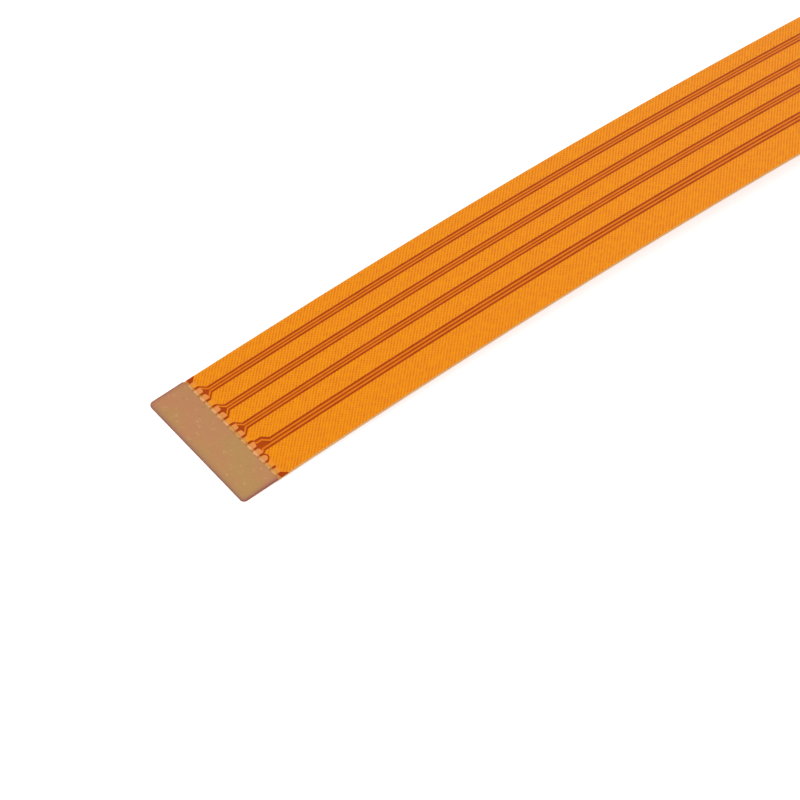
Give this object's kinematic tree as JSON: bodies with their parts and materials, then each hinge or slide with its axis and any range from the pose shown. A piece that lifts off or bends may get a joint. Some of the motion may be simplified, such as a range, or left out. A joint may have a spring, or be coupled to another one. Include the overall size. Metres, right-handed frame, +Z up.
{
  "type": "flat flex cable",
  "caption": "Flat polyimide flex cable with copper bands and paired tracks, stiffened contact ends and a gentle arch.",
  "frame": {"origin": "on the table, under the middle of the cable's length and width", "axes": "+X along the cable from the near end to the far end, +Y across it towards contact 1, +Z up"},
  "size_m": [0.1498, 0.016, 0.0041],
  "materials": {
    "base_film": "amber-brown polyimide film, smooth",
    "coverlay": "clear amber polyimide film over adhesive",
    "stiffener": "tan polyimide sheet, satin",
    "bonding_film": "thermoset adhesive film",
    "top_copper": "etched copper foil, tinned where bare",
    "via_copper": "filled copper vias",
    "contact_plating": "gold-plated copper fingers"
  },
  "bodies": {
    "root": {"base_film": "base_film", "top_coverlay": "coverlay", "bottom_coverlay": "coverlay", "near_stiffener": "stiffener", "near_bonding_film": "bonding_film", "near_round_pad_13": "top_copper", "near_vias": "via_copper", "near_contact_01": "contact_plating", "near_contact_02": "contact_plating", "near_contact_03": "contact_plating", "near_contact_04": "contact_plating", "near_contact_05": "contact_plating", "near_contact_06": "contact_plating", "near_contact_07": "contact_plating", "near_contact_08": "contact_plating", "near_contact_09": "contact_plating", "near_contact_10": "contact_plating", "near_contact_11": "contact_plating", "near_contact_12": "contact_plating", "near_contact_14": "contact_plating", "near_contact_15": "contact_plating", "far_stiffener": "stiffener", "far_bonding_film": "bonding_film", "far_round_pad_13": "top_copper", "far_vias": "via_copper", "far_contact_01": "contact_plating", "far_contact_02": "contact_plating", "far_contact_03": "contact_plating", "far_contact_04": "contact_plating", "far_contact_05": "contact_plating", "far_contact_06": "contact_plating", "far_contact_07": "contact_plating", "far_contact_08": "contact_plating", "far_contact_09": "contact_plating", "far_contact_10": "contact_plating", "far_contact_11": "contact_plating", "far_contact_12": "contact_plating", "far_contact_14": "contact_plating", "far_contact_15": "contact_plating", "ground_band_1": "top_copper", "ground_band_2": "top_copper", "ground_band_3": "top_copper", "ground_band_4": "top_copper", "ground_band_5": "top_copper", "signal_track_02": "top_copper", "signal_track_03": "top_copper", "signal_track_05": "top_copper", "signal_track_06": "top_copper", "signal_track_08": "top_copper", "signal_track_09": "top_copper", "signal_track_11": "top_copper", "signal_track_12": "top_copper", "link_track_13": "contact_plating"}
  },
  "joints": []
}
